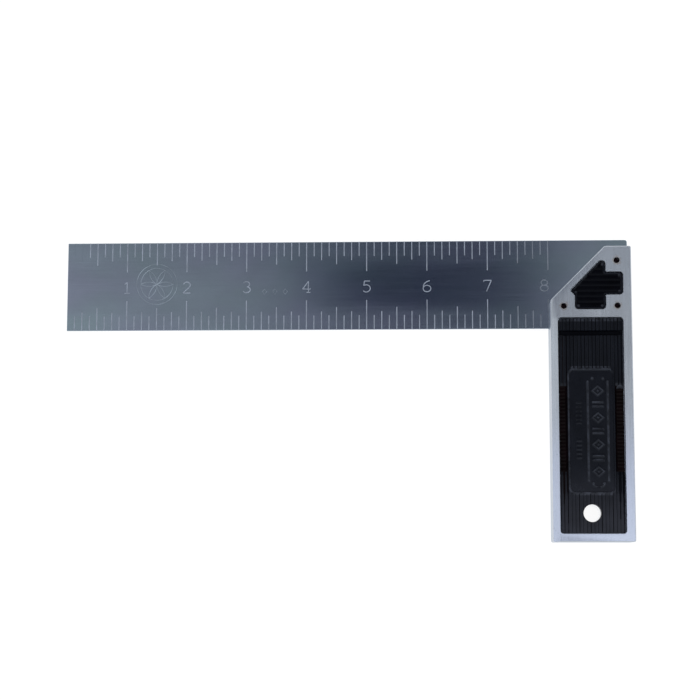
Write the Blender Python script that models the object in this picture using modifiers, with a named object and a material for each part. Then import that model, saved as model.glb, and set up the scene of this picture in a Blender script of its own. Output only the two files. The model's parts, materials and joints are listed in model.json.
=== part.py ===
"""Eight-inch try and mitre square: a graduated steel blade, pinned into a die-cast stock that carries
moulded inlays on both faces. It lies flat. The blade points to -X, the stock runs to -Y, the thickness
is along Z, and the world's origin is the centre of the bounding box's underside."""

import math

import bmesh
import bpy
from mathutils import Matrix, Vector

MM = 0.001
INCH = 0.0254

# Plan positions count from the corner between the line of the stock's inner face, X = 0, and the
# blade's upper edge, Y = 0. Heights count from the blade's middle plane, Z = 0.

# Blade
BLADE_REACH = 203.6 * MM  # from the tip to the stock's inner face
BLADE_WIDTH = 37.5 * MM
BLADE_THICKNESS = 1.2 * MM
BLADE_HEEL = 32.8 * MM  # how far the blade runs on inside the stock
HEEL_RADIUS = 1.0 * MM
BLADE_CHAMFER = 0.12 * MM

# Graduations, engraved along both edges of both faces, counted from the tip
SCALE_INCHES = 8
DIVISIONS = 8  # in an inch
TICK_WIDTH = 0.4 * MM
TICK_DEPTH = 0.12 * MM
TICK_LENGTHS = {8: 12.6 * MM, 4: 9.6 * MM, 2: 7.8 * MM, 1: 6.1 * MM}

# Stock
STOCK_WIDTH = 33.6 * MM
STOCK_THICKNESS = 16.0 * MM
STOCK_TOP = -3.8 * MM
STOCK_BOTTOM = -126.4 * MM
MITRE_LEG = 22.7 * MM
MITRE_RADIUS = 1.6 * MM
CORNER_RADIUS = 0.7 * MM
STOCK_CHAMFER = 0.35 * MM
SLOT_BOTTOM = -37.8 * MM

# The long bevel along the inner edge of each face runs out towards the mitre
BEVEL_ANGLE = math.radians(8)
BEVEL_TOP = (1.7 * MM, -25.6 * MM)
BEVEL_FULL = (2.85 * MM, -33.7 * MM)

# Pockets in each face of the stock
POCKET_DEPTH = 3.0 * MM
POCKET_RADIUS = 1.6 * MM
GRIP_POCKET = (2.85 * MM, -123.3 * MM, 30.0 * MM, -33.7 * MM)  # left, bottom, right, top
HEAD_RADIUS = 1.5 * MM
HEAD_POCKET = (  # (x, y, corner radius), from the tip of the arrow round to the left
    (8.35 * MM, -22.1 * MM, 0.4 * MM),
    (20.3 * MM, -9.9 * MM, 1.0 * MM),
    (23.0 * MM, -9.9 * MM, HEAD_RADIUS),
    (23.0 * MM, -14.6 * MM, 0.3 * MM),
    (30.2 * MM, -14.6 * MM, HEAD_RADIUS),
    (30.2 * MM, -24.4 * MM, HEAD_RADIUS),
    (23.05 * MM, -24.4 * MM, 0.3 * MM),
    (23.05 * MM, -30.5 * MM, HEAD_RADIUS),
    (10.0 * MM, -30.5 * MM, HEAD_RADIUS),
    (10.0 * MM, -24.6 * MM, 0.3 * MM),
    (8.35 * MM, -22.9 * MM, 0.3 * MM),
)

# Inlays: a plate in each pocket
INLAY_DROP = 0.4 * MM  # from the stock's face down to the inlay's
CROSS_GROOVE = (-39.4 * MM, -41.2 * MM)
CROSS_GROOVE_DEPTH = 1.0 * MM
SCOOP = (-62.5 * MM, -97.6 * MM)  # finger scoops in the grip's long sides
SCOOP_WIDTH = 3.6 * MM
SCOOP_DEPTH = 1.3 * MM
PANEL = (6.9 * MM, -106.7 * MM, 25.9 * MM, -55.4 * MM)
PANEL_RADIUS = 2.5 * MM
PANEL_BORDER = 0.6 * MM
PANEL_DEPTH = 0.35 * MM
INLAY_CHAMFER = 0.25 * MM

# Pins and holes, in plan
PINS = {
    "pin_top": (27.6 * MM, -9.9 * MM),
    "pin_inner": (5.5 * MM, -29.0 * MM),
    "pin_outer": (27.7 * MM, -28.9 * MM),
}
PIN_RADIUS = 1.0 * MM
PIN_DROP = 1.6 * MM  # from the stock's face down to the pin's end
PIN_CHAMFER = 0.2 * MM
HANG_HOLE = (16.0 * MM, -114.7 * MM)
HANG_HOLE_RADIUS = 3.6 * MM

GAP = 0.3 * MM  # between pieces that touch
PIN_GAP = 0.25 * MM
BEYOND = 2.0 * MM  # how far a cutter reaches past the surface that it opens
ARC_STEPS = 6
WELD = 0.0005 * MM
BOTH_FACES = (1, -1)

FACE = STOCK_THICKNESS / 2
BLADE_FACE = BLADE_THICKNESS / 2


def clear_scene():
    for obj in list(bpy.data.objects):
        bpy.data.objects.remove(obj)


def new_collection(name):
    collection = bpy.data.collections.new(name)
    bpy.context.scene.collection.children.link(collection)
    return collection


def new_material(name, color, metallic, roughness):
    material = bpy.data.materials.new(name)
    material.use_nodes = True
    shader = material.node_tree.nodes["Principled BSDF"]
    shader.inputs["Base Color"].default_value = (*color, 1.0)
    shader.inputs["Metallic"].default_value = metallic
    shader.inputs["Roughness"].default_value = roughness
    return material


def new_layout():
    """The empty that holds the plan's corner. Everything is parented to it."""
    layout = bpy.data.objects.new("square_layout", None)
    bpy.context.scene.collection.objects.link(layout)
    layout.location = (
        (BLADE_REACH - STOCK_WIDTH) / 2,
        -STOCK_BOTTOM / 2,
        STOCK_THICKNESS / 2,
    )
    return layout


clear_scene()
LAYOUT = new_layout()
PARTS = new_collection("try_and_mitre_square")
CUTTERS = new_collection("cutters")


# Shapes


def rounded(corners):
    """A closed outline, with an arc at each (x, y, radius) corner."""
    points = []
    for index, (x, y, radius) in enumerate(corners):
        corner = Vector((x, y))
        back = (Vector(corners[index - 1][:2]) - corner).normalized()
        ahead = (Vector(corners[(index + 1) % len(corners)][:2]) - corner).normalized()
        half_angle = back.angle(ahead) / 2
        centre = corner + (back + ahead).normalized() * radius / math.sin(half_angle)
        start = corner + back * radius / math.tan(half_angle) - centre
        turn = math.copysign(math.pi - 2 * half_angle, back.x * ahead.y - back.y * ahead.x)
        for step in range(ARC_STEPS + 1):
            points.append(centre + Matrix.Rotation(-turn * step / ARC_STEPS, 2) @ start)
    return points


def rectangle(left, bottom, right, top, radius):
    return rounded([(left, top, radius), (right, top, radius), (right, bottom, radius), (left, bottom, radius)])


def inset(box, amount):
    left, bottom, right, top = box
    return left + amount, bottom + amount, right - amount, top - amount


def placed(name, mesh, location, collection):
    obj = bpy.data.objects.new(name, mesh)
    collection.objects.link(obj)
    obj.parent = LAYOUT
    obj.location = location
    return obj


def curve_mesh(name, outline, thickness):
    """The welded mesh of a flat outline, extruded evenly to both sides."""
    curve = bpy.data.curves.new(name, "CURVE")
    curve.dimensions = "2D"
    curve.fill_mode = "BOTH"
    curve.extrude = thickness / 2
    spline = curve.splines.new("POLY")
    spline.points.add(len(outline) - 1)
    for point, (x, y) in zip(spline.points, outline):
        point.co = (x, y, 0, 1)
    spline.use_cyclic_u = True
    guide = bpy.data.objects.new(name + "_outline", curve)
    bpy.context.scene.collection.objects.link(guide)
    graph = bpy.context.evaluated_depsgraph_get()
    mesh = bpy.data.meshes.new_from_object(guide.evaluated_get(graph))
    bpy.data.objects.remove(guide)
    bpy.data.curves.remove(curve)
    return mesh


def tidy_mesh(mesh):
    """Welds a mesh, joins its flat triangles into whole faces and turns the faces out."""
    shape = bmesh.new()
    shape.from_mesh(mesh)
    bmesh.ops.remove_doubles(shape, verts=shape.verts, dist=WELD)
    bmesh.ops.dissolve_limit(shape, angle_limit=math.radians(0.5), verts=shape.verts, edges=shape.edges)
    bmesh.ops.recalc_face_normals(shape, faces=shape.faces)
    shape.to_mesh(mesh)
    shape.free()


def prism(name, outline, low, high, collection=PARTS):
    """A flat outline between two heights, given in either order."""
    mesh = curve_mesh(name, outline, abs(high - low))
    tidy_mesh(mesh)
    return placed(name, mesh, (0, 0, (low + high) / 2), collection)


def cylinder(name, radius, length, location, segments, collection=PARTS):
    shape = bmesh.new()
    bmesh.ops.create_cone(
        shape, cap_ends=True, segments=segments, radius1=radius, radius2=radius, depth=length
    )
    mesh = bpy.data.meshes.new(name)
    shape.to_mesh(mesh)
    shape.free()
    return placed(name, mesh, location, collection)


def boxes(name, low_high_pairs):
    """One cutter that holds a box for each (low corner, high corner)."""
    shape = bmesh.new()
    for low, high in low_high_pairs:
        low, high = Vector(low), Vector(high)
        size = Matrix.Diagonal((high - low).to_4d())
        size[3][3] = 1
        bmesh.ops.create_cube(shape, size=1, matrix=Matrix.Translation((low + high) / 2) @ size)
    mesh = bpy.data.meshes.new(name)
    shape.to_mesh(mesh)
    shape.free()
    return placed(name, mesh, (0, 0, 0), CUTTERS)


def loft(name, sections):
    """One cutter through sections of (x, z) points, each at its own y."""
    shape = bmesh.new()
    rings = [[shape.verts.new((x, y, z)) for x, z in points] for y, points in sections]
    for ring, following in zip(rings, rings[1:]):
        for index in range(len(ring)):
            after = (index + 1) % len(ring)
            shape.faces.new((ring[index], ring[after], following[after], following[index]))
    shape.faces.new(rings[0])
    shape.faces.new(rings[-1])
    bmesh.ops.recalc_face_normals(shape, faces=shape.faces)
    mesh = bpy.data.meshes.new(name)
    shape.to_mesh(mesh)
    shape.free()
    return placed(name, mesh, (0, 0, 0), CUTTERS)


# Modifiers


def on_both_faces(obj):
    """Repeats a cutter, mirrored in the blade's middle plane."""
    mirror = obj.modifiers.new("both faces", "MIRROR")
    mirror.use_axis = (False, False, True)
    mirror.mirror_object = LAYOUT
    mirror.use_mirror_merge = False
    return obj


def cut(obj, cutter):
    cutter.hide_render = True
    cutter.display_type = "WIRE"
    boolean = obj.modifiers.new("cut " + cutter.name, "BOOLEAN")
    boolean.operation = "DIFFERENCE"
    boolean.solver = "EXACT"
    boolean.object = cutter


def chamfer(obj, width):
    bevel = obj.modifiers.new("chamfer", "BEVEL")
    bevel.width = width
    bevel.segments = 1
    bevel.limit_method = "ANGLE"
    bevel.angle_limit = math.radians(40)


def finish(obj, material):
    obj.data.materials.append(material)
    obj.data.shade_smooth()
    obj.data.set_sharp_from_angle(angle=math.radians(30))


# Cutters that more than one piece shares


def through_hole(name, place, radius, segments):
    return cylinder(name, radius, STOCK_THICKNESS + 2 * BEYOND, (*place, 0), segments, CUTTERS)


def pin_bores():
    return [
        through_hole(pin + "_bore", place, PIN_RADIUS + PIN_GAP, 24)
        for pin, place in PINS.items()
    ]


# Pieces


def tick_boxes():
    """The engraved ticks of one face, on both edges of the blade."""
    low, high = BLADE_FACE - TICK_DEPTH, BLADE_FACE + BEYOND
    for number in range(1, SCALE_INCHES * DIVISIONS + 1):
        length = TICK_LENGTHS[math.gcd(number, DIVISIONS)]
        x = number * INCH / DIVISIONS - BLADE_REACH
        left, right = x - TICK_WIDTH / 2, x + TICK_WIDTH / 2
        yield (left, -length, low), (right, BEYOND, high)
        yield (left, -BLADE_WIDTH - BEYOND, low), (right, length - BLADE_WIDTH, high)


def make_blade(material, bores):
    outline = rounded(
        [
            (-BLADE_REACH, 0, BLADE_CHAMFER),
            (BLADE_HEEL, 0, HEEL_RADIUS),
            (BLADE_HEEL, -BLADE_WIDTH, HEEL_RADIUS),
            (-BLADE_REACH, -BLADE_WIDTH, BLADE_CHAMFER),
        ]
    )
    blade = prism("blade", outline, -BLADE_FACE, BLADE_FACE)
    chamfer(blade, BLADE_CHAMFER)
    for bore in bores:
        cut(blade, bore)
    cut(blade, on_both_faces(boxes("ticks", tick_boxes())))
    finish(blade, material)


def edge_bevel_section(x, y):
    """What the long bevel takes off at y, where its upper edge is at x."""
    slope = math.tan(BEVEL_ANGLE)
    outer = -BEYOND
    inner = x + BEYOND
    top = FACE + 2 * BEYOND
    return y, [
        (outer, FACE - (x - outer) * slope),
        (inner, FACE + BEYOND * slope),
        (inner, top),
        (outer, top),
    ]


def edge_bevel():
    (top_x, top_y), (full_x, full_y) = BEVEL_TOP, BEVEL_FULL
    run_out = (full_x - top_x) / (top_y - full_y)
    above = top_y + BEYOND
    return loft(
        "edge_bevel",
        [
            edge_bevel_section(top_x - run_out * BEYOND, above),
            edge_bevel_section(full_x, full_y),
            edge_bevel_section(full_x, STOCK_BOTTOM - BEYOND),
        ],
    )


def pocket(name, outline):
    return on_both_faces(prism(name, outline, FACE - POCKET_DEPTH, FACE + BEYOND, CUTTERS))


def make_stock(material, bores, hang_hole):
    outline = rounded(
        [
            (0, STOCK_TOP - MITRE_LEG, MITRE_RADIUS),
            (MITRE_LEG, STOCK_TOP, MITRE_RADIUS),
            (STOCK_WIDTH, STOCK_TOP, CORNER_RADIUS),
            (STOCK_WIDTH, STOCK_BOTTOM, CORNER_RADIUS),
            (0, STOCK_BOTTOM, CORNER_RADIUS),
        ]
    )
    stock = prism("stock", outline, -FACE, FACE)
    chamfer(stock, STOCK_CHAMFER)
    cut(stock, on_both_faces(edge_bevel()))
    cut(stock, pocket("grip_pocket", rectangle(*GRIP_POCKET, POCKET_RADIUS)))
    cut(stock, pocket("head_pocket", rounded(HEAD_POCKET)))
    slot = (
        (-BEYOND, SLOT_BOTTOM, -BLADE_FACE - GAP),
        (STOCK_WIDTH + BEYOND, BEYOND, BLADE_FACE + GAP),
    )
    cut(stock, boxes("blade_slot", [slot]))
    for bore in [*bores, hang_hole]:
        cut(stock, bore)
    finish(stock, material)


def make_pins(material):
    length = STOCK_THICKNESS - 2 * PIN_DROP
    for name, place in PINS.items():
        pin = cylinder(name, PIN_RADIUS, length, (*place, 0), 20)
        chamfer(pin, PIN_CHAMFER)
        finish(pin, material)


def scoops(side):
    """Long round-ended hollows in the grip's two sides."""
    left, _, right, _ = inset(GRIP_POCKET, GAP)
    bottom, top = SCOOP[1], SCOOP[0]
    surface = side * (FACE - INLAY_DROP)
    floor = surface - side * SCOOP_DEPTH
    spans = ((left - SCOOP_WIDTH, left + SCOOP_WIDTH), (right - SCOOP_WIDTH, right + SCOOP_WIDTH))
    for number, (low, high) in enumerate(spans):
        outline = rectangle(low, bottom, high, top, SCOOP_WIDTH * 0.9)
        yield prism(f"scoop_{number}_{side:+d}", outline, floor, surface + side * BEYOND, CUTTERS)


def make_grip(name, side, material, hang_hole):
    """The ribbed inlay of the long pocket. side is 1 on the front face and -1 on the back."""
    surface = side * (FACE - INLAY_DROP)
    floor = side * (FACE - POCKET_DEPTH + GAP)
    left, bottom, right, top = inset(GRIP_POCKET, GAP)
    grip = prism(name, rectangle(left, bottom, right, top, POCKET_RADIUS - GAP), floor, surface)
    chamfer(grip, INLAY_CHAMFER)
    groove_ends = (surface - side * CROSS_GROOVE_DEPTH, surface + side * BEYOND)
    groove = (
        (left - BEYOND, CROSS_GROOVE[1], min(groove_ends)),
        (right + BEYOND, CROSS_GROOVE[0], max(groove_ends)),
    )
    cut(grip, boxes(f"cross_groove_{side:+d}", [groove]))
    panel = rectangle(*inset(PANEL, PANEL_BORDER), PANEL_RADIUS - PANEL_BORDER)
    panel_floor = surface - side * PANEL_DEPTH
    cut(grip, prism(f"panel_{side:+d}", panel, panel_floor, surface + side * BEYOND, CUTTERS))
    for scoop in scoops(side):
        cut(grip, scoop)
    cut(grip, hang_hole)
    finish(grip, material)


def shrunk(corners, amount):
    """The same outline, moved in by an amount on every side. Corners run clockwise."""
    moved = []
    for index, (x, y, radius) in enumerate(corners):
        corner = Vector((x, y))
        back = (Vector(corners[index - 1][:2]) - corner).normalized()
        ahead = (Vector(corners[(index + 1) % len(corners)][:2]) - corner).normalized()
        inward = Vector((ahead.y, -ahead.x)) + Vector((-back.y, back.x))
        convex = back.x * ahead.y - back.y * ahead.x > 0
        inward *= amount / (inward.length_squared / 2)
        moved.append((*(corner + inward), max(radius - amount, 0.1 * MM) if convex else radius + amount))
    return moved


def make_head_insert(name, side, material):
    surface = side * (FACE - INLAY_DROP)
    floor = side * (FACE - POCKET_DEPTH + GAP)
    insert = prism(name, rounded(shrunk(HEAD_POCKET, GAP)), floor, surface)
    chamfer(insert, INLAY_CHAMFER)
    finish(insert, material)


def main():
    steel = new_material("blade_steel", (0.14, 0.17, 0.21), 1.0, 0.38)
    alloy = new_material("cast_aluminium", (0.42, 0.46, 0.51), 1.0, 0.42)
    pin_steel = new_material("pin_steel", (0.08, 0.08, 0.09), 1.0, 0.5)
    plastic = new_material("black_plastic", (0.012, 0.013, 0.018), 0.0, 0.45)
    bores = pin_bores()
    hang_hole = through_hole("hang_hole", HANG_HOLE, HANG_HOLE_RADIUS, 40)
    make_blade(steel, bores)
    make_stock(alloy, bores, hang_hole)
    make_pins(pin_steel)
    for side, face in zip(BOTH_FACES, ("front", "back")):
        make_grip("grip_" + face, side, plastic, hang_hole)
        make_head_insert("head_insert_" + face, side, plastic)


main()
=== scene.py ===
"""The looks of the try and mitre square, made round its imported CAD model.

The square lies flat on z = 0, its blade pointing along -X and its stock along -Y. Most pieces take the
CAD node's own solid and add what it leaves out: engraving, ribs, ornament, softened edges and materials.
"""

import json
import math

import bmesh
import bpy
import numpy as np
from mathutils import Matrix, Vector


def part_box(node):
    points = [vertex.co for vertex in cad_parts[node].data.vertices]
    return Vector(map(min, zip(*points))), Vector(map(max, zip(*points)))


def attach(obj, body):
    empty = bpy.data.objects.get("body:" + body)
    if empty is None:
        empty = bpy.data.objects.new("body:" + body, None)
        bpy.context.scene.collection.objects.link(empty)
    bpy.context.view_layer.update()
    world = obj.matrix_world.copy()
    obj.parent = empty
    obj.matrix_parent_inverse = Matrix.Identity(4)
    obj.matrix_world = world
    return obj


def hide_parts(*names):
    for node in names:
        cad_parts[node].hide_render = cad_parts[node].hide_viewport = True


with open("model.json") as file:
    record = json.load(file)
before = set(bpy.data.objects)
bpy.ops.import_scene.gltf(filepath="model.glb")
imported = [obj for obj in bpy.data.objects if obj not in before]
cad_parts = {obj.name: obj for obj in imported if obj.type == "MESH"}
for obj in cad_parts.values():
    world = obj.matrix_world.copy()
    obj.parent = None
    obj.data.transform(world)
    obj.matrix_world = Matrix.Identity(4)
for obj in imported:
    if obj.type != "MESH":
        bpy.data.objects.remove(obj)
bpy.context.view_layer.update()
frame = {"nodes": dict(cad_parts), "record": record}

MM = 0.001
INCH = 0.0254
NODES = frame["nodes"]

# Places read from the frame. Plan coordinates, u and v, are in millimetres: u counts along X from the
# stock's inner face and v along Y from the blade's upper edge, so v is below 0 all over the stock.
BLADE_LOW, BLADE_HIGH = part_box("blade")
BLADE_MIDDLE = (BLADE_LOW + BLADE_HIGH) / 2
STOCK_LOW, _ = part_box("stock")
PLAN_ORIGIN = Vector((STOCK_LOW.x, BLADE_HIGH.y, 0))
TIP = BLADE_LOW.x
PINS = ("pin_top", "pin_inner", "pin_outer")

# Stock
HANG_HOLE_RADIUS = 3.6 * MM
BACK_HOLE_ROOM = 0.4 * MM  # how much wider the back grip's hole is, in radius
DRILL_LENGTH = 40 * MM  # enough to pass through everything
FLAT_ANGLE = math.radians(0.3)  # faces that meet at less than this are joined before the rounding
ROUNDED_ANGLE = math.radians(30)  # edges sharper than this are rounded
STOCK_ROUNDING = 0.14 * MM
FLATTEST_EDGE = 0.9  # a face whose normal's Z is under this is one of the casting's sides or edges

# The scale on the blade
SCALE_INCHES = 8
DIVISIONS = 8  # to the inch
TICK_WIDTH = 0.4 * MM
TICK_DEPTH = 0.12 * MM
# A tick's length, by the largest of 8, 4, 2 and 1 that divides its number from the tip
TICK_LENGTHS = {8: 12.6 * MM, 4: 9.6 * MM, 2: 7.8 * MM, 1: 6.1 * MM}
FILL_DROP = 0.02 * MM  # from the blade's face down to the fill of a tick
FILL_ROOM = 0.01 * MM  # between the fill and the tick's walls
FILL_INSET = 0.13 * MM  # from the blade's edge to the fill
WORN_AWAY = 2  # ticks along the upper edge, counted from the tip, that have lost their fill
NUMERAL_HEIGHT = 4.7 * MM
NUMERAL_DROP = 0.45 * MM  # below the middle of the blade
NUMERAL_WIDTH = 3.5 * MM
GLYPH_WIDTH = 0.62  # of the strokes in NUMERALS, whose height is 1
LAST_NUMERAL_SHIFT = -1.6 * MM  # the 8 stands clear of the stock

# The emblem, and the lozenges further along the blade
EMBLEM_INCH = 1.5
EMBLEM_RISE = 1.0 * MM  # above the middle of the blade
EMBLEM_RADIUS = 8.6 * MM
INNER_RING = 0.8  # of the outer ring's radius
LOZENGE_INCHES = [3.3 + 0.173 * i for i in range(3)]
LOZENGE_DROP = 2.4 * MM  # below the middle of the blade
LOZENGE_HALF_WIDTH = 0.9 * MM
LOZENGE_HALF_HEIGHT = 1.2 * MM

# Engraved strokes are tubes laid above the face, so that only their lowest part cuts into it
STROKE_RADIUS = 0.42 * MM
STROKE_HEIGHT = 0.34 * MM
FINE_RADIUS = 0.24 * MM
FINE_HEIGHT = 0.21 * MM

# Plastic inlays, in millimetres. Depths are below the piece's highest level.
SHARP_ANGLE = math.radians(40)  # faces that meet at more than this keep a sharp edge
EDGE_WIDTH = 0.35  # of the rounding at an inlay's edge
EDGE_ROUNDING = 0.3
GRIP_RADIUS = 1.3  # of the corners in plan
GRIP_CORNER_ROWS = 9
GRIP_ROW_STEP = 0.22
GRIP_COLUMNS = 181
RIB_PITCH = 1.52
RIB_START = 0.2
RIB_DEPTH = 0.3
TOP_BAND = -39.4
CROSS_GROOVE = -41.2
CROSS_GROOVE_DEPTH = 1.05
PLATEAU = (6.3, 26.1)
PLATEAU_DEPTH = 0.06
STRIP_DEPTH = 0.5  # of the lower strip down each side
STRIP_SLOPE = 0.12
SCOOP = (-97.6, -62.5)
SCOOP_DEPTH = 1.3
SERRATION_PITCH = 1.5
SERRATION_DEPTH = 0.3

# The panel in the grip, in millimetres
PANEL = (6.6, -106.7, 25.9, -55.0)
PANEL_MIDDLE = (PANEL[0] + PANEL[2]) / 2
PANEL_RADIUS = 2.5
PANEL_BORDER = 0.7
PANEL_DEPTH = 0.35
RELIEF_HEIGHT = 0.27
RULES = (14.8, 23.0)
RULE_MIDDLE = (RULES[0] + RULES[1]) / 2
RULE_ENDS = (-101.3, -60.5)
RULE_HALF_WIDTH = 0.45
DOTS = (-2.2, 2.2)  # beside the rules' middle line, at each of their ends
DOT_RADIUS = 0.55
MOTIFS = 7
DASH_PITCH = 1.75
DASH_MIDDLE = 11.0
DASH_ROWS = ((-78.0, -68.6), (-93.0, -83.6))

# The head inserts, in millimetres
INSERT_STEP = 0.16
INSERT_MARGIN = 0.3
RIM_WIDTH = 0.75
INSERT_FLOOR = 0.34
INSERT_RIB_PITCH = 2.3
INSERT_RIB_DEPTH = 0.16
STUD_RADIUS = 0.72
STUDS = ((11.6, -28.9), (21.4, -28.9), (21.6, -11.6), (28.6, -16.2), (28.6, -22.8), (10.6, -23.2))


# Small tools


def node(tree, kind, inputs=None, **settings):
    """A new shader node. inputs holds values, or the output sockets that feed them."""
    made = tree.nodes.new("ShaderNode" + kind)
    for key, value in settings.items():
        setattr(made, key, value)
    for key, value in (inputs or {}).items():
        if isinstance(value, bpy.types.NodeSocket):
            tree.links.new(value, made.inputs[key])
        else:
            made.inputs[key].default_value = value
    return made


def maths(tree, operation, first, second):
    return node(tree, "Math", {0: first, 1: second}, operation=operation).outputs[0]


def ranged(tree, value, low, high, to_low, to_high, smooth=False):
    """value, moved from one range to another and held inside it."""
    made = node(
        tree,
        "MapRange",
        {"Value": value, "From Min": low, "From Max": high, "To Min": to_low, "To Max": to_high},
        interpolation_type="SMOOTHSTEP" if smooth else "LINEAR",
    )
    return made.outputs["Result"]


def position(tree, axis=None):
    """The shaded point, or one of its axes. Every object's origin is the frame's, so it's in the frame."""
    point = node(tree, "TexCoord").outputs["Object"]
    return node(tree, "SeparateXYZ", {0: point}).outputs[axis] if axis else point


def noise(tree, scale, detail=3.0, roughness=0.5):
    """Noise from 0 to 1. scale gives the repeats a metre along x, y and z."""
    mapping = node(tree, "Mapping", {"Vector": position(tree), "Scale": scale})
    made = node(
        tree,
        "TexNoise",
        {"Vector": mapping.outputs["Vector"], "Scale": 1.0, "Detail": detail, "Roughness": roughness},
    )
    return made.outputs["Fac"]


def new_material(name, **sockets):
    material = bpy.data.materials.new(name)
    material.use_nodes = True
    shader = material.node_tree.nodes["Principled BSDF"]
    for key, value in sockets.items():
        shader.inputs[key.replace("_", " ")].default_value = value
    return material, material.node_tree, shader


def tinted(tree, shader, base, *variations):
    """Sets the base colour to base times each variation, a value or colour about 1."""
    colour = node(tree, "RGB").outputs[0]
    colour.default_value = (*base, 1)
    for variation in variations:
        colour = node(tree, "VectorMath", {0: colour, 1: variation}, operation="MULTIPLY").outputs[0]
    tree.links.new(colour, shader.inputs["Base Color"])


def bumped(tree, shader, height, strength, distance):
    bump = node(tree, "Bump", {"Height": height, "Strength": strength, "Distance": distance})
    tree.links.new(bump.outputs[0], shader.inputs["Normal"])


def mixed(tree, factor, first, second):
    """The colour between first and second, by factor. A Mix node has its colours at sockets 6 and 7, and
    its mixed colour at output 2."""
    inputs = {"Factor": factor, 6: (*first, 1), 7: (*second, 1)}
    return node(tree, "Mix", inputs, data_type="RGBA").outputs[2]


def solid_of(node_name):
    """The solid of a CAD node as a bmesh, its split vertices joined."""
    shape = bmesh.new()
    shape.from_mesh(NODES[node_name].data)
    bmesh.ops.remove_doubles(shape, verts=shape.verts, dist=0.001 * MM)
    return shape


def mesh_of(shape, name):
    """A new mesh with only the points and faces of shape, which it frees."""
    shape.verts.index_update()
    points = [vertex.co[:] for vertex in shape.verts]
    faces = [[vertex.index for vertex in face.verts] for face in shape.faces]
    shape.free()
    mesh = bpy.data.meshes.new(name)
    mesh.from_pydata(points, [], faces)
    return mesh


def new_object(name, mesh, *materials):
    obj = bpy.data.objects.new(name, mesh)
    bpy.context.scene.collection.objects.link(obj)
    for material in materials:
        mesh.materials.append(material)
    return obj


def add_piece(obj, replaced=None):
    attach(obj, "root")
    if replaced:
        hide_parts(replaced)


def apply_modifiers(obj):
    """Gives obj the mesh that its modifiers make, and takes them off."""
    bpy.context.view_layer.update()
    evaluated = obj.evaluated_get(bpy.context.evaluated_depsgraph_get())
    mesh = bpy.data.meshes.new_from_object(evaluated)
    obj.modifiers.clear()
    obj.data = mesh


def cut(obj, cutters, operation="DIFFERENCE"):
    """A Boolean with each cutter in turn. The cutters are removed."""
    for cutter in cutters:
        boolean = obj.modifiers.new("cut", "BOOLEAN")
        boolean.operation = operation
        boolean.solver = "MANIFOLD"
        boolean.object = cutter
    apply_modifiers(obj)
    for cutter in cutters:
        bpy.data.objects.remove(cutter)


def smooth(mesh):
    mesh.shade_smooth()
    mesh.set_sharp_from_angle(angle=SHARP_ANGLE)


def dress(obj, material):
    """Gives an object one material, whatever it had."""
    for slot in obj.material_slots:
        slot.material = material


# Materials


def steel_material():
    """Ground carbon steel, blue grey with a slight green cast in places, its grain along the blade. It is
    duller along both edges, where the scale was etched, apart from the end that the stock shields."""
    material, tree, shader = new_material("ground_steel", Metallic=1.0)
    grain = noise(tree, (50, 5200, 5200), detail=2.0)
    lines = noise(tree, (14, 900, 900), detail=2.0)
    cloud = noise(tree, (22, 40, 40), detail=3.0)
    tarnish = noise(tree, (60, 85, 85), detail=4.0, roughness=0.6)
    cast = mixed(tree, ranged(tree, cloud, 0.35, 0.65, 0, 1), (0.96, 1.03, 0.97), (1.03, 0.98, 1.04))
    tinted(
        tree,
        shader,
        (0.36, 0.43, 0.53),
        cast,
        ranged(tree, grain, 0.3, 0.7, 0.96, 1.04),
        ranged(tree, tarnish, 0.3, 0.7, 0.95, 1.05),
    )
    streaks = ranged(tree, lines, 0.3, 0.7, 0.108, 0.122)
    rough = maths(tree, "ADD", streaks, ranged(tree, grain, 0.3, 0.7, 0, 0.02))
    middle, start, full = BLADE_MIDDLE.y, 4 * MM, 15 * MM
    across, along = position(tree, "Y"), position(tree, "X")
    lower = ranged(tree, across, middle - start, middle - full, 0, 0.055, smooth=True)
    upper = ranged(tree, across, middle + start, middle + full, 0, 0.037, smooth=True)
    exposed = ranged(tree, along, TIP + 6 * INCH, TIP + 8 * INCH, 1.0, 0.2, smooth=True)
    dulled = maths(tree, "MULTIPLY", maths(tree, "ADD", lower, upper), exposed)
    tree.links.new(maths(tree, "ADD", rough, dulled), shader.inputs["Roughness"])
    height = maths(tree, "ADD", grain, maths(tree, "MULTIPLY", lines, 0.15))
    bumped(tree, shader, height, 0.05, 0.02 * MM)
    return material


def mark_material():
    """The pale, rough bottom of an etched mark, darker towards where the blade enters the stock."""
    material, tree, shader = new_material("etched_mark", Roughness=0.8)
    shader.inputs["Specular IOR Level"].default_value = 0.2
    wear = noise(tree, (420, 420, 420), detail=3.0)
    darker_near_stock = ranged(tree, position(tree, "X"), TIP + 7.0 * INCH, TIP + 7.7 * INCH, 1.0, 0.66, smooth=True)
    tinted(tree, shader, (0.34, 0.385, 0.475), ranged(tree, wear, 0.3, 0.7, 0.8, 1.15), darker_near_stock)
    return material


def faint_mark_material():
    """A shallow engraved line that is still bare metal."""
    material, tree, shader = new_material("engraved_line", Metallic=1.0, Roughness=0.28)
    wear = noise(tree, (300, 300, 300), detail=3.0)
    tinted(tree, shader, (0.34, 0.4, 0.48), ranged(tree, wear, 0.35, 0.65, 0.62, 1.05))
    return material


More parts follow.
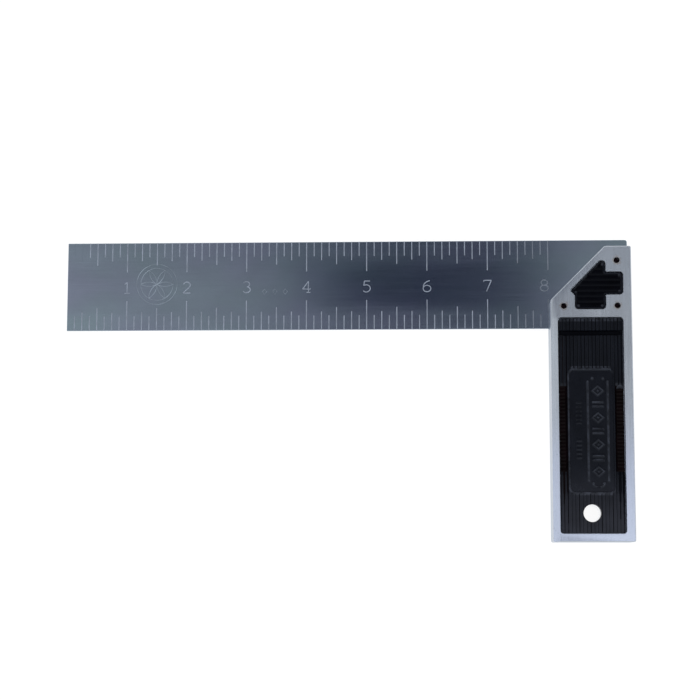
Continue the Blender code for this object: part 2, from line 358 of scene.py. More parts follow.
def stain_round_pins(tree):
    """A colour that is 1 on clean metal and brownish just round each pin."""
    flat = node(tree, "VectorMath", {0: position(tree), 1: (1, 1, 0)}, operation="MULTIPLY").outputs[0]
    nearest = None
    for pin in PINS:
        low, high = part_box(pin)
        centre = ((low.x + high.x) / 2, (low.y + high.y) / 2, 0)
        away = node(tree, "VectorMath", {0: flat, 1: centre}, operation="DISTANCE").outputs["Value"]
        nearest = away if nearest is None else maths(tree, "MINIMUM", nearest, away)
    uneven = noise(tree, (600, 600, 600), detail=2.0)
    reach = maths(tree, "ADD", nearest, ranged(tree, uneven, 0.3, 0.7, -0.5 * MM, 0.5 * MM))
    clean = ranged(tree, reach, 1.0 * MM, 2.2 * MM, 0, 1, smooth=True)
    return mixed(tree, clean, (0.86, 0.76, 0.68), (1, 1, 1))


def reflection_tint_along_stock(tree):
    """A colour about 1 that paints on the tint of reflected light: neutral at the head's top, warm below it
    and blue towards the stock's free end.
    """
    along = position(tree, "Y")
    top = PLAN_ORIGIN.y
    below_head = ranged(tree, along, top - 20 * MM, top - 32 * MM, 0, 1, smooth=True)
    free_end = ranged(tree, along, top - 60 * MM, top - 100 * MM, 0, 1, smooth=True)
    warm = mixed(tree, below_head, (1, 1, 1), (1.0, 0.988, 0.972))
    blue = mixed(tree, free_end, (1, 1, 1), (0.985, 0.995, 1.1))
    return node(tree, "VectorMath", {0: warm, 1: blue}, operation="MULTIPLY").outputs[0]


def aluminium_material():
    """Cast aluminium, linished along the stock, with the fine pitting of its casting."""
    material, tree, shader = new_material("cast_aluminium", Metallic=1.0)
    grain = noise(tree, (2600, 60, 2600), detail=2.0)
    pits = noise(tree, (1500, 1500, 1500), detail=2.0)
    cloud = noise(tree, (60, 35, 60), detail=3.0)
    tinted(
        tree,
        shader,
        (0.66, 0.73, 0.83),
        stain_round_pins(tree),
        # painted reflection tint along the stock
        reflection_tint_along_stock(tree),
        ranged(tree, grain, 0.3, 0.7, 0.97, 1.03),
        ranged(tree, pits, 0.62, 0.75, 1.0, 0.86),
        ranged(tree, cloud, 0.3, 0.7, 0.95, 1.04),
    )
    linished = ranged(tree, cloud, 0.3, 0.7, 0.19, 0.23)
    rough = maths(tree, "ADD", linished, ranged(tree, grain, 0.3, 0.7, 0, 0.04))
    tree.links.new(rough, shader.inputs["Roughness"])
    height = maths(tree, "SUBTRACT", grain, ranged(tree, pits, 0.6, 0.75, 0, 1.5))
    bumped(tree, shader, height, 0.06, 0.03 * MM)
    return material


def edge_material():
    """The casting's sides and filed edges, left rougher and duller than its linished faces."""
    material, tree, shader = new_material("cast_aluminium_edge", Metallic=1.0)
    pits = noise(tree, (1300, 1300, 1300), detail=3.0)
    cloud = noise(tree, (90, 90, 90), detail=3.0)
    tinted(
        tree,
        shader,
        (0.53, 0.575, 0.64),
        ranged(tree, pits, 0.58, 0.75, 1.0, 0.8),
        ranged(tree, cloud, 0.3, 0.7, 0.93, 1.06),
    )
    tree.links.new(ranged(tree, cloud, 0.3, 0.7, 0.42, 0.52), shader.inputs["Roughness"])
    bumped(tree, shader, pits, 0.15, 0.06 * MM)
    return material


def bore_material():
    """The clean, bright wall of the drilled hang hole."""
    material, tree, shader = new_material("drilled_aluminium", Metallic=1.0)
    turning = noise(tree, (90, 90, 2500), detail=2.0)
    tinted(tree, shader, (0.94, 0.96, 0.99), ranged(tree, turning, 0.3, 0.7, 0.97, 1.03))
    tree.links.new(ranged(tree, turning, 0.3, 0.7, 0.16, 0.28), shader.inputs["Roughness"])
    return material


def pin_material():
    """Slightly rusted pin ends, near black: dark steel, made darker still with painted shade."""
    material, tree, shader = new_material("pin_steel_painted_shade", Metallic=1.0, Roughness=0.6)
    rust = noise(tree, (1100, 1100, 1100))
    tinted(tree, shader, (0.012, 0.007, 0.009), ranged(tree, rust, 0.3, 0.7, 0.5, 1.6))
    bumped(tree, shader, rust, 0.4, 0.1 * MM)
    return material


def painted_light_towards_end(tree):
    """From 0 over most of a grip to 1 at its lower end: a factor for painted light that makes the lower end
    lighter.
    """
    end = STOCK_LOW.y
    return ranged(tree, position(tree, "Y"), end + 34 * MM, end + 2 * MM, 0, 1, smooth=True)


def plastic(name, specular):
    """A new material whose highlights are slightly blue."""
    material, tree, shader = new_material(name)
    shader.inputs["Specular IOR Level"].default_value = specular
    shader.inputs["Specular Tint"].default_value = (0.76, 0.84, 1.0, 1)
    return material, tree, shader


def plastic_material():
    """Moulded black plastic, satin, with dust in its texture, and painted light that makes it lighter
    towards the grip's lower end.
    """
    material, tree, shader = plastic("black_plastic", 0.21)
    texture = noise(tree, (4500, 4500, 4500), detail=1.0)
    dust = noise(tree, (120, 70, 120), detail=4.0, roughness=0.6)
    # painted light: the base colour grows lighter towards the grip's lower end
    end_light_colour = mixed(tree, painted_light_towards_end(tree), (0.0022, 0.0028, 0.0056), (0.022, 0.023, 0.031))
    tinted(tree, shader, (1, 1, 1), end_light_colour, ranged(tree, dust, 0.3, 0.7, 0.7, 1.4))
    tree.links.new(ranged(tree, dust, 0.3, 0.7, 0.19, 0.3), shader.inputs["Roughness"])
    bumped(tree, shader, texture, 0.12, 0.03 * MM)
    return material


def highlight_material():
    """The plastic's raised edges, in a paler grey: painted highlights where they catch the light, with more
    painted light towards the lower end.
    """
    material, tree, shader = plastic("plastic_painted_highlight", 0.25)
    wear = noise(tree, (400, 400, 400), detail=3.0)
    end_light_colour = mixed(tree, painted_light_towards_end(tree), (0.021, 0.0235, 0.033), (0.036, 0.038, 0.05))
    tinted(tree, shader, (1, 1, 1), end_light_colour, ranged(tree, wear, 0.35, 0.65, 0.35, 1.45))
    tree.links.new(ranged(tree, wear, 0.3, 0.7, 0.3, 0.42), shader.inputs["Roughness"])
    bumped(tree, shader, wear, 0.1, 0.05 * MM)
    return material


def groove_shade_material():
    """The blackest plastic, painted shade: the head inserts' floors and the grooves of the grips."""
    material, tree, shader = plastic("black_plastic_painted_shade", 0.06)
    dust = noise(tree, (150, 150, 150), detail=4.0, roughness=0.6)
    tinted(tree, shader, (0.0012, 0.0013, 0.0026), ranged(tree, dust, 0.3, 0.7, 0.7, 1.5))
    tree.links.new(ranged(tree, dust, 0.3, 0.7, 0.22, 0.34), shader.inputs["Roughness"])
    bumped(tree, shader, noise(tree, (4500, 4500, 4500), detail=1.0), 0.12, 0.03 * MM)
    return material


def scoop_shade_material():
    """The same plastic, slightly brown and darkened with painted shade, in the finger scoops and beside
    them.
    """
    material, tree, shader = new_material("brown_plastic_painted_shade")
    shader.inputs["Specular IOR Level"].default_value = 0.045
    blotches = noise(tree, (300, 150, 300), detail=3.0)
    tinted(tree, shader, (0.0034, 0.0012, 0.0018), ranged(tree, blotches, 0.3, 0.7, 0.4, 1.7))
    tree.links.new(ranged(tree, blotches, 0.3, 0.7, 0.25, 0.4), shader.inputs["Roughness"])
    bumped(tree, shader, blotches, 0.1, 0.05 * MM)
    return material


STEEL = steel_material()
MARK = mark_material()
FAINT_MARK = faint_mark_material()
ALUMINIUM = aluminium_material()
ALUMINIUM_EDGE = edge_material()
ALUMINIUM_BORE = bore_material()
PIN_STEEL = pin_material()
PLASTIC = plastic_material()
SHADED_PLASTIC = groove_shade_material()
SCOOP_SHADE_PLASTIC = scoop_shade_material()
HIGHLIT_PLASTIC = highlight_material()
BLADE_MATERIALS = (STEEL, MARK, FAINT_MARK)
STOCK_MATERIALS = (ALUMINIUM, ALUMINIUM_EDGE, ALUMINIUM_BORE)
GRIP_MATERIALS = (PLASTIC, SCOOP_SHADE_PLASTIC, HIGHLIT_PLASTIC, SHADED_PLASTIC)
INSERT_MATERIALS = (SHADED_PLASTIC, PLASTIC, HIGHLIT_PLASTIC)


# Blade


def arc(x, y, x_radius, y_radius, start, end, steps=12):
    """Points on an ellipse from one angle to another, in degrees."""
    angles = [math.radians(start + (end - start) * i / steps) for i in range(steps + 1)]
    return [(x + x_radius * math.cos(a), y + y_radius * math.sin(a)) for a in angles]


# Each numeral's strokes, in a box GLYPH_WIDTH wide and 1 high
NUMERALS = {
    1: [[(0.12, 0.8), (0.31, 1.0)], [(0.31, 1.0), (0.31, 0.0)], [(0.12, 0.0), (0.5, 0.0)]],
    2: [arc(0.31, 0.72, 0.27, 0.28, 165, -38) + [(0.03, 0.0)], [(0.03, 0.0), (0.6, 0.0)]],
    3: [arc(0.3, 0.76, 0.24, 0.24, 150, -80), arc(0.3, 0.27, 0.29, 0.27, 80, -150)],
    4: [
        [(0.45, 1.0), (0.45, 0.0)],
        [(0.45, 1.0), (0.02, 0.3)],
        [(0.02, 0.3), (0.62, 0.3)],
        [(0.3, 0.0), (0.6, 0.0)],
    ],
    5: [[(0.56, 1.0), (0.14, 1.0)], [(0.14, 1.0), (0.1, 0.58)], arc(0.28, 0.33, 0.3, 0.33, 122, -140)],
    6: [arc(0.62, 0.45, 0.58, 0.55, 100, 180), arc(0.31, 0.29, 0.29, 0.29, 0, 360, 20)],
    7: [[(0.04, 0.86), (0.04, 1.0)], [(0.04, 1.0), (0.6, 1.0)], [(0.6, 1.0), (0.24, 0.0)]],
    8: [arc(0.31, 0.76, 0.23, 0.24, 0, 360, 20), arc(0.31, 0.27, 0.29, 0.27, 0, 360, 20)],
}


def numeral_strokes():
    """The strokes of all the numerals, on the blade's plan as seen from the front."""
    strokes = []
    for number in range(1, SCALE_INCHES + 1):
        shift = LAST_NUMERAL_SHIFT if number == SCALE_INCHES else 0
        x = TIP + number * INCH - NUMERAL_WIDTH / 2 + shift
        y = BLADE_MIDDLE.y - NUMERAL_HEIGHT / 2 - NUMERAL_DROP
        wide = NUMERAL_WIDTH / GLYPH_WIDTH
        for stroke in NUMERALS[number]:
            strokes.append([(x + a * wide, y + b * NUMERAL_HEIGHT) for a, b in stroke])
    return strokes


def emblem_strokes():
    """A plain compass-drawn rosette in two rings, and three small lozenges further along the blade."""
    x, y = TIP + EMBLEM_INCH * INCH, BLADE_MIDDLE.y + EMBLEM_RISE
    inner = EMBLEM_RADIUS * INNER_RING
    strokes = [arc(x, y, r, r, 0, 360, 48) for r in (EMBLEM_RADIUS, inner)]
    for turn in range(0, 360, 60):
        centre = (x + inner * math.cos(math.radians(turn)), y + inner * math.sin(math.radians(turn)))
        strokes.append(arc(*centre, inner, inner, turn + 120, turn + 240, 20))
    y = BLADE_MIDDLE.y - LOZENGE_DROP
    for inches in LOZENGE_INCHES:
        strokes.append(arc(TIP + inches * INCH, y, LOZENGE_HALF_WIDTH, LOZENGE_HALF_HEIGHT, 90, -270, 4))
    return strokes


def stroke_cutter(stroke, side, radius, height, material):
    """A tube along one stroke, just above one face of the blade, which leaves material on what it cuts.
    side is 1 for the front face and -1 for the back."""
    curve = bpy.data.curves.new("stroke", "CURVE")
    curve.dimensions = "3D"
    curve.bevel_depth = radius
    curve.bevel_resolution = 2
    curve.use_fill_caps = True
    surface = BLADE_HIGH.z if side > 0 else BLADE_LOW.z
    closed = math.dist(stroke[0], stroke[-1]) < 1e-9
    points = stroke[:-1] if closed else stroke
    spline = curve.splines.new("POLY")
    spline.points.add(len(points) - 1)
    for point, (x, y) in zip(spline.points, points):
        point.co = (x, y, surface + side * height, 1)
    spline.use_cyclic_u = closed
    guide = bpy.data.objects.new("stroke", curve)
    bpy.context.scene.collection.objects.link(guide)
    bpy.context.view_layer.update()
    evaluated = guide.evaluated_get(bpy.context.evaluated_depsgraph_get())
    mesh = bpy.data.meshes.new_from_object(evaluated)
    bpy.data.objects.remove(guide)
    shape = bmesh.new()
    shape.from_mesh(mesh)
    bmesh.ops.remove_doubles(shape, verts=shape.verts, dist=0.0001 * MM)
    bmesh.ops.recalc_face_normals(shape, faces=shape.faces)
    cutter = new_object("stroke", mesh_of(shape, "stroke"), *BLADE_MATERIALS)
    for face in cutter.data.polygons:
        face.material_index = BLADE_MATERIALS.index(material)
    return cutter


def turned_over(strokes):
    """The strokes as the back face has them: each is mirrored about the half inch that it stands nearest."""
    mirrored = []
    for stroke in strokes:
        nearest = TIP + round((stroke[0][0] - TIP) / INCH * 2) / 2 * INCH
        mirrored.append([(2 * nearest - x, y) for x, y in stroke])
    return mirrored


def make_blade():
    blade = new_object("engraved_blade", mesh_of(solid_of("blade"), "engraved_blade"), *BLADE_MATERIALS)
    cutters = []
    for side in (1, -1):
        for strokes, radius, height, material in (
            (numeral_strokes(), STROKE_RADIUS, STROKE_HEIGHT, MARK),
            (emblem_strokes(), FINE_RADIUS, FINE_HEIGHT, FAINT_MARK),
        ):
            placed = strokes if side > 0 else turned_over(strokes)
            cutters += [stroke_cutter(stroke, side, radius, height, material) for stroke in placed]
    cut(blade, cutters)
    add_piece(blade, "blade")


def add_box(shape, low, high):
    low, high = Vector(low), Vector(high)
    size = Matrix.Diagonal((*(high - low), 1))
    bmesh.ops.create_cube(shape, size=1, matrix=Matrix.Translation((low + high) / 2) @ size)


def make_tick_fill(name, side):
    """What fills the engraved ticks of one face. side is 1 for the front face and -1 for the back."""
    shape = bmesh.new()
    surface = BLADE_HIGH.z if side > 0 else BLADE_LOW.z
    ends = (surface - side * FILL_DROP, surface - side * (TICK_DEPTH - FILL_ROOM / 2))
    half = TICK_WIDTH / 2 - FILL_ROOM
    for number in range(1, SCALE_INCHES * DIVISIONS + 1):
        x = TIP + number * INCH / DIVISIONS
        length = TICK_LENGTHS[math.gcd(number, DIVISIONS)] - FILL_ROOM
        rows = [(BLADE_LOW.y + FILL_INSET, BLADE_LOW.y + length)]
        if number > WORN_AWAY:
            rows.append((BLADE_HIGH.y - length, BLADE_HIGH.y - FILL_INSET))
        for start, stop in rows:
            add_box(shape, (x - half, start, min(ends)), (x + half, stop, max(ends)))
    add_piece(new_object(name, mesh_of(shape, name), MARK))


# Stock


def hang_hole_centre():
    corners = frame["record"]["physics"]["openings"][0]["box_m"]
    return Vector((a + b) / 2 for a, b in zip(*corners))


def make_stock():
    """The casting, with its machined edges slightly rounded."""
    shape = solid_of("stock")
    bmesh.ops.dissolve_limit(shape, angle_limit=FLAT_ANGLE, verts=shape.verts, edges=shape.edges)
    stock = new_object("cast_stock", mesh_of(shape, "cast_stock"), *STOCK_MATERIALS)
    rounding = stock.modifiers.new("rounding", "BEVEL")
    rounding.width = STOCK_ROUNDING
    rounding.segments = 2
    rounding.limit_method = "ANGLE"
    rounding.angle_limit = ROUNDED_ANGLE
    rounding.harden_normals = True
    stock.data.shade_smooth()
    apply_modifiers(stock)
    hole = hang_hole_centre()
    for face in stock.data.polygons:
        drilled = (face.center - hole).xy.length < 1.2 * HANG_HOLE_RADIUS
        steep = abs(face.normal.z) < FLATTEST_EDGE
        material = ALUMINIUM_BORE if drilled else ALUMINIUM_EDGE if steep else ALUMINIUM
        face.material_index = STOCK_MATERIALS.index(material)
    add_piece(stock, "stock")


# Plastic inlays. Each surface is a grid whose depth below the piece's highest level is a formula of u and v.


def step(value, edge, width=0.25):
    """0 below edge and 1 above it, turning smoothly over width."""
    t = np.clip((value - edge) / width + 0.5, 0, 1)
    return t * t * (3 - 2 * t)


def within(value, low, high, width=0.25):
    return step(value, low, width) * (1 - step(value, high, width))


def box_distance(u, v, box, radius):
    """The distance to a rounded rectangle, below 0 inside it."""
    left, bottom, right, top = box
    across = np.abs(u - (left + right) / 2) - (right - left) / 2 + radius
    along = np.abs(v - (bottom + top) / 2) - (top - bottom) / 2 + radius
    outside = np.hypot(np.maximum(across, 0), np.maximum(along, 0))
    return outside + np.minimum(np.maximum(across, along), 0) - radius


def rib_depth(across, pitch, depth):
    """Rounded ribs with narrow grooves between them."""
    return depth * (1 - np.abs(np.sin(np.pi * across / pitch)) ** 0.6)


def ornament_height(u, v):
    """Raised lozenges and pairs of bars between the panel's two rules, and short dashes beside them. The
    result runs from 0 to 1."""
    pitch = (RULE_ENDS[1] - RULE_ENDS[0] - 2) / MOTIFS
    place = (v - RULE_ENDS[0] - 1) / pitch
    cell = np.floor(place)
    local = (place - cell - 0.5) * pitch
    across = u - RULE_MIDDLE
    shown = (cell >= 0) & (cell < MOTIFS)
    lozenge = np.abs(across) / 2.7 + np.abs(local) / 2.3
    ring = within(lozenge, 0.62, 1.0, 0.15) + (1 - step(lozenge, 0.22, 0.15))
    bars = within(np.abs(local), 0.45, 1.25) * (1 - step(np.abs(across), 2.4))
    motif = np.where(cell % 2 == 0, ring, bars) * shown
    dash = np.abs((v / DASH_PITCH) % 1 - 0.5) * DASH_PITCH
    dashes = (1 - step(dash, 0.35)) * (1 - step(np.abs(u - DASH_MIDDLE), 0.95))
    dashes = dashes * sum(within(v, *row) for row in DASH_ROWS)
    return np.clip(motif + dashes, 0, 1)


def panel_relief(u, v):
    """What stands up from the panel's floor, from 0 to 1: its ornament, rules, end dots and arch."""
    height = 0.8 * ornament_height(u, v)
    for rule in RULES:
        beyond = np.maximum(np.maximum(RULE_ENDS[0] - v, v - RULE_ENDS[1]), 0)
        height = np.maximum(height, 1 - step(np.hypot(u - rule, beyond), RULE_HALF_WIDTH, 0.4))
    low_dots, high_dots = RULE_ENDS[0] - 1.2, RULE_ENDS[1] + 1.4
    for end in (low_dots, high_dots):
        for dot in DOTS:
            away = np.hypot(u - RULE_MIDDLE - dot, v - end)
            height = np.maximum(height, 1 - step(away, DOT_RADIUS))
    below = low_dots - v
    arch = np.abs(np.hypot((u - RULE_MIDDLE) / 2.3, below / 1.5) - 1)
    return np.maximum(height, (1 - step(arch, 0.16, 0.12)) * (below > 0))


def beyond_plateau(u):
    """How far u lies past the plateau's nearer side, below 0 on the plateau."""
    return np.maximum(PLATEAU[0] - u, u - PLATEAU[1])


def grip_depth(u, v):
    """Depths on a grip: full-width ribs at the top, a cross groove, then a ribbed plateau that holds the
    panel, with a lower strip down each side and a serrated finger scoop in each strip."""
    ribs = rib_depth(u - RIB_START, RIB_PITCH, RIB_DEPTH)
    above = step(v, TOP_BAND)
    groove = within(v, CROSS_GROOVE, TOP_BAND, 0.4)
    side = beyond_plateau(u)
    lowered = step(side, 0, 0.3) * (1 - above)
    strip = STRIP_DEPTH + STRIP_SLOPE * np.maximum(side, 0) + ribs * 0.7
    scoop = within(v, *SCOOP, 3.0) * step(side, 0.35, 0.5)
    serrations = rib_depth(v, SERRATION_PITCH, SERRATION_DEPTH)
    strip = strip * (1 - scoop) + (SCOOP_DEPTH + serrations * step(side, 0.6, 0.4)) * scoop
    from_panel = box_distance(u, v, PANEL, PANEL_RADIUS)
    plateau = (ribs + PLATEAU_DEPTH) * step(from_panel, 0.05, 0.2)
    sunk = 1 - step(from_panel, -PANEL_BORDER, 0.25)
    plateau = plateau * (1 - sunk) + (PANEL_DEPTH - RELIEF_HEIGHT * panel_relief(u, v)) * sunk
    depth = plateau * (1 - lowered) + strip * lowered
    return depth * (1 - groove) + CROSS_GROOVE_DEPTH * groove


def grip_painted_light(u, v):
    """Which of GRIP_MATERIALS each place on a grip shows: 0 is plain, 1 painted shade in the scoops, 2
    painted highlight and 3 painted shade in the grooves.
    """
    side = beyond_plateau(u)
    left = u < PLATEAU[0]
    beside = (side > 0) & (v < CROSS_GROOVE)
    from_panel = box_distance(u, v, PANEL, PANEL_RADIUS)

    # Painted shade fills the scoops. Below them it widens the grooves between the ribs, less and less
    # downwards.
    shade_spread = np.clip((v - SCOOP[0] + 22) / 14, 0, 1) * (v < SCOOP[0])
    groove = np.where(v < PANEL[1], 0.2, 0.4) + np.where(left, 0.35, 0.55) * shade_spread * beside
    between = np.abs(np.sin(np.pi * (u - RIB_START) / RIB_PITCH)) < groove
    scoop = within(v, *SCOOP, 3.0) > 0.4
    scoop_shaded = beside & (scoop | (between & left))
    ribbed = (from_panel > 0) & ~(beside & (side < 0.4))
    # painted shade in the grooves between the ribs and in the cross groove
    dark = (ribbed & between) | ((v > CROSS_GROOVE) & (v < TOP_BAND))

    # Painted highlights go on what stands proud and catches the light: the rules and the ornament's crests,
    # the panel's border, the ends of the ribs above and below it, the upper end of the right scoop, and the
    # ribs' upper ends.
    crest = np.where(np.abs(u - RULE_MIDDLE) < 3.5, 0.76, 0.5)
    relief = (panel_relief(u, v) > crest) & (u > RULES[0] - 1) & (from_panel < -PANEL_BORDER)
    border = (from_panel > -PANEL_BORDER) & (from_panel < 0.05) & (u < PANEL[2] - 1.4)
    over_panel = (from_panel > 0) & (from_panel < 0.8) & (np.abs(u - PANEL_MIDDLE) < 8.5)
    rib_ends = over_panel & ~between & ~beside
    scoop_end = (np.hypot(u - 28.2, (v - SCOOP[1] + 1.2) * 0.8) < 1.5) & (v > SCOOP[1] - 0.9)
    band_top = (v > TOP_BAND + 4) & ~between
    highlit = relief | border | rib_ends | scoop_end | band_top
    return np.where(highlit, 2, np.where(scoop_shaded, 1, np.where(dark, 3, 0)))


def inlay_edge(distance):
    """The rounding of an inlay's edge, from the distance inside its outline."""
    t = 1 - np.clip(distance / EDGE_WIDTH, 0, 1)
    return EDGE_ROUNDING * (1 - np.sqrt(1 - t * t * 0.98))


def carved_mesh(name, u, v, depth, low, high, side):
    """A closed mesh, one face of which is a grid: u, v and depth are arrays of one shape, in millimetres.
    side is 1 where that face is the front and -1 where it is the back."""
    surface = high.z - depth * MM if side > 0 else low.z + depth * MM
    base = low.z if side > 0 else high.z
    x, y = u * MM + PLAN_ORIGIN.x, v * MM + PLAN_ORIGIN.y
    rows, columns = u.shape
    points = np.stack([x, y, surface], axis=-1).reshape(-1, 3)
    index = np.arange(rows * columns).reshape(rows, columns)
    corners = [index[:-1, :-1], index[1:, :-1], index[1:, 1:], index[:-1, 1:]]
    faces = np.stack(corners, axis=-1).reshape(-1, 4)
    rim = np.concatenate([index[0, :-1], index[:-1, -1], index[-1, :0:-1], index[:0:-1, 0]])
    under = np.arange(len(rim)) + len(points)
    foot = points[rim].copy()
    foot[:, 2] = base
    points = np.concatenate([points, foot])
    walls = np.stack([rim, np.roll(rim, -1), np.roll(under, -1), under], axis=-1)
    loops = faces.tolist() + walls.tolist() + [under.tolist()]
    mesh = bpy.data.meshes.new(name)
    mesh.from_pydata(points.tolist(), [], loops)
    shape = bmesh.new()
    shape.from_mesh(mesh)
    bmesh.ops.recalc_face_normals(shape, faces=shape.faces)
    shape.to_mesh(mesh)
    shape.free()
    return mesh


def face_centres(mesh):
    """The middle of each face, with u and v first."""
    centres = np.empty(len(mesh.polygons) * 3, np.float32)
    mesh.polygons.foreach_get("center", centres)
    return (centres.reshape(-1, 3) - np.array(PLAN_ORIGIN)) / MM


def in_plan(point):
    """A point of the frame as u and v."""
    return (point.x - PLAN_ORIGIN.x) / MM, (point.y - PLAN_ORIGIN.y) / MM


def make_grip(node_name, name, side):
    """A grip on a grid of points, whose rows shorten towards the ends to follow the rounded corners."""
    low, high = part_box(node_name)
    (left, bottom), (right, top) = in_plan(low), in_plan(high)
    radius = GRIP_RADIUS
    turns = 1 - np.cos(np.linspace(0, math.pi / 2, GRIP_CORNER_ROWS))
    straight = np.arange(bottom + radius, top - radius, GRIP_ROW_STEP)[1:]
    rows = np.concatenate([bottom + radius * turns, straight, top - radius * turns[::-1]])
    from_end = np.minimum(np.minimum(rows - bottom, top - rows), radius)
    inset = radius - np.sqrt(np.maximum(radius**2 - (radius - from_end) ** 2, 0))
    share = np.linspace(0, 1, GRIP_COLUMNS)
    v = np.repeat(rows[:, None], len(share), axis=1)
    u = (left + inset)[:, None] + (right - left - 2 * inset)[:, None] * share
    inside = -box_distance(u, v, (left, bottom, right, top), radius)
    depth = np.maximum(grip_depth(u, v), inlay_edge(inside))
    grip = new_object(name, carved_mesh(name, u, v, depth, low, high, side), *GRIP_MATERIALS)
    hole = HANG_HOLE_RADIUS if side > 0 else HANG_HOLE_RADIUS + BACK_HOLE_ROOM
    place = Matrix.Translation(hang_hole_centre())
    drill = bmesh.new()
    bmesh.ops.create_cone(
        drill, cap_ends=True, segments=64, radius1=hole, radius2=hole, depth=DRILL_LENGTH, matrix=place
    )
    cut(grip, [new_object("drill", mesh_of(drill, "drill"), PLASTIC)])
    smooth(grip.data)
    u, v = face_centres(grip.data).T[:2]
    grip.data.polygons.foreach_set("material_index", grip_painted_light(u, v).astype(np.int32))
    add_piece(grip, node_name)


def outline_distance(shape, u, v):
    """Distance from points in plan to a solid's vertical walls."""
    nearest = np.full(u.shape, np.inf)
    for edge in shape.edges:
        start, end = (vertex.co for vertex in edge.verts)
        steep = [abs(face.normal.z) < 0.1 for face in edge.link_faces]
        if abs(start.z - end.z) > 1e-6 or sum(steep) != 1:
            continue
        (ax, ay), (bx, by) = in_plan(start), in_plan(end)
        length = (bx - ax) ** 2 + (by - ay) ** 2
        t = np.clip(((u - ax) * (bx - ax) + (v - ay) * (by - ay)) / length, 0, 1)
        nearest = np.minimum(nearest, np.hypot(u - ax - t * (bx - ax), v - ay - t * (by - ay)))
    return nearest


def insert_depth(u, v, inside):
    """A low rim, faint cross ribs inside it, and a small round stud in each corner."""
    floor = INSERT_FLOOR + rib_depth(v, INSERT_RIB_PITCH, INSERT_RIB_DEPTH)
    floor = floor * step(inside, RIM_WIDTH, 0.25)
    for a, b in STUDS:
        away = np.hypot(u - a, v - b)
        stud = 0.08 + 0.25 * within(away, -1, 0.3)
        floor = np.where(away < 0.9, stud + (floor - stud) * step(away, STUD_RADIUS, 0.2), floor)
    return np.maximum(floor, 0.01)


def make_insert(node_name, name, side):
    """A head insert: the CAD solid, cut down to a carved surface."""
    low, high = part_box(node_name)
    (left, bottom), (right, top) = in_plan(low), in_plan(high)
    u, v = np.meshgrid(
        np.arange(left - INSERT_MARGIN, right + INSERT_MARGIN, INSERT_STEP),
        np.arange(bottom - INSERT_MARGIN, top + INSERT_MARGIN, INSERT_STEP),
    )
    solid = solid_of(node_name)
    outline = solid.copy()
    inside = outline_distance(outline, u, v)
    block = carved_mesh(name, u, v, insert_depth(u, v, inside), low, high, side)
    insert = new_object(name, mesh_of(solid, name), *INSERT_MATERIALS)
    cut(insert, [new_object("block", block, SHADED_PLASTIC)], operation="INTERSECT")
    smooth(insert.data)
    u, v = face_centres(insert.data).T[:2]
    rim = outline_distance(outline, u, v) < RIM_WIDTH + 0.1
    studs = np.any([np.hypot(u - a, v - b) < 0.5 for a, b in STUDS], axis=0)
    # the insert's floor takes painted shade, its rim plain plastic and its studs painted highlights
    wear = np.where(studs, 2, np.where(rim, 1, 0)).astype(np.int32)
    insert.data.polygons.foreach_set("material_index", wear)
    outline.free()
    add_piece(insert, node_name)


# Studio

CAMERA_PLACE = (0.03291, -0.07763, 0.7579)
CAMERA_TURNS = (0.1257, 0.0417, -0.0043)  # about X, Y and Z, in radians
CAMERA_LENS = 92.6
FLOOR_SIZE = 6
FLOOR_DROP = 0.02 * MM


def make_floor():
    material, _, shader = new_material("white_table", Roughness=0.9)
    shader.inputs["Base Color"].default_value = (0.15, 0.15, 0.15, 1)
    shader.inputs["Emission Color"].default_value = (1, 1, 1, 1)
    shader.inputs["Emission Strength"].default_value = 0.93
    bpy.ops.mesh.primitive_plane_add(size=FLOOR_SIZE, location=(0, 0, -FLOOR_DROP))
    floor = bpy.context.object
    floor.name = "white_table"
    floor.data.materials.append(material)


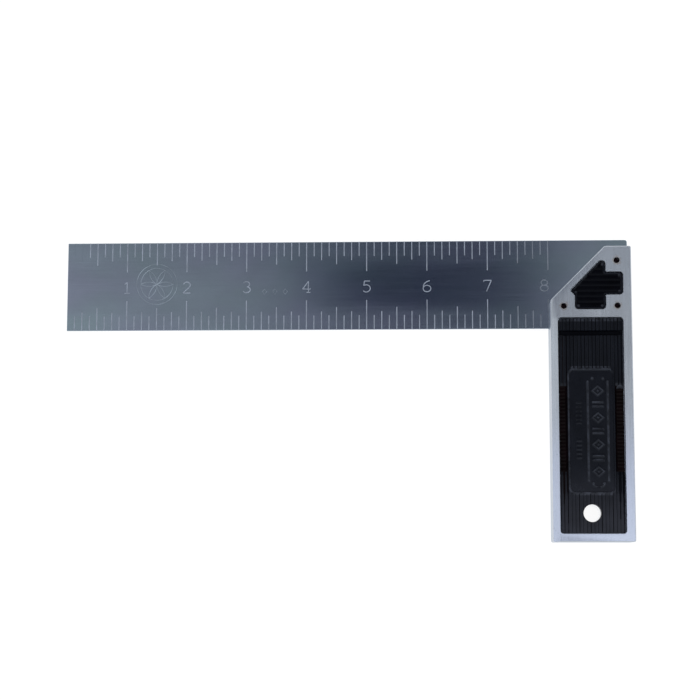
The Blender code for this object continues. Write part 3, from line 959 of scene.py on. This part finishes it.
def make_world():
    """A light tent of soft boxes to the left, to the right and, brightest, in front. It is dark overhead and
    behind, and evenly lit low down all round. Two slopes give a direction: across is its X over its Z, and
    along is its Y over its Z."""
    world = bpy.data.worlds.new("light_tent")
    bpy.context.scene.world = world
    world.use_nodes = True
    tree = world.node_tree
    direction = node(tree, "TexCoord").outputs["Generated"]
    parts = node(tree, "SeparateXYZ", {0: direction}).outputs
    up = maths(tree, "MAXIMUM", parts["Z"], 0.05)
    across = maths(tree, "DIVIDE", parts["X"], up)
    along = maths(tree, "DIVIDE", parts["Y"], up)
    left = ranged(tree, across, -0.042, -0.09, 0.0, 0.385, smooth=True)
    right = ranged(tree, across, 0.055, 0.088, 0.0, 0.395, smooth=True)
    right = maths(tree, "MULTIPLY", right, ranged(tree, across, 0.095, 0.15, 1.0, 0.75, smooth=True))
    left = maths(tree, "MULTIPLY", left, ranged(tree, along, 0.16, 0.19, 1.0, 0.6, smooth=True))
    far_left = ranged(tree, across, -0.19, -0.24, 0.0, 0.23, smooth=True)
    front = ranged(tree, along, 0.055, 0.0, 0.0, 1.0, smooth=True)
    front = maths(tree, "MULTIPLY", front, ranged(tree, across, 0.06, 0.115, 0.74, 1.27))
    front = maths(tree, "MULTIPLY", front, ranged(tree, across, -0.1, 0.0, 0.65, 1.0))
    boxes = maths(tree, "ADD", maths(tree, "ADD", left, far_left), right)
    overhead = maths(tree, "ADD", maths(tree, "ADD", boxes, front), 0.042)
    away = node(tree, "CombineXYZ", {"X": across, "Y": along})
    spread = node(tree, "VectorMath", {0: away.outputs[0]}, operation="LENGTH").outputs["Value"]
    sideways = ranged(tree, spread, 0.7, 1.8, 0.0, 1.0, smooth=True)
    inputs = {"Factor": sideways, 2: overhead, 3: 0.72}
    total = node(tree, "Mix", inputs, data_type="FLOAT").outputs[0]
    background = tree.nodes["Background"].inputs
    tree.links.new(total, background["Strength"])
    lit = ranged(tree, total, 0.03, 0.3, 0, 1)
    tree.links.new(mixed(tree, lit, (0.65, 0.8, 1.5), (0.98, 0.99, 1)), background["Color"])


def make_camera():
    camera = bpy.data.cameras.new("camera")
    camera.lens = CAMERA_LENS
    camera.sensor_width = 36
    obj = bpy.data.objects.new("camera", camera)
    bpy.context.scene.collection.objects.link(obj)
    tilt_x, tilt_y, roll = (Matrix.Rotation(a, 4, axis) for a, axis in zip(CAMERA_TURNS, "XYZ"))
    obj.matrix_world = Matrix.Translation(CAMERA_PLACE) @ tilt_x @ tilt_y @ roll
    bpy.context.scene.camera = obj


make_blade()
make_tick_fill("scale_fill_front", 1)
make_tick_fill("scale_fill_back", -1)
make_stock()
for pin in PINS:
    dress(NODES[pin], PIN_STEEL)
make_grip("grip_front", "ribbed_grip_front", 1)
make_grip("grip_back", "ribbed_grip_back", -1)
make_insert("head_insert_front", "ribbed_insert_front", 1)
make_insert("head_insert_back", "ribbed_insert_back", -1)
make_floor()
make_world()
make_camera()
bpy.context.scene.view_settings.view_transform = "Standard"
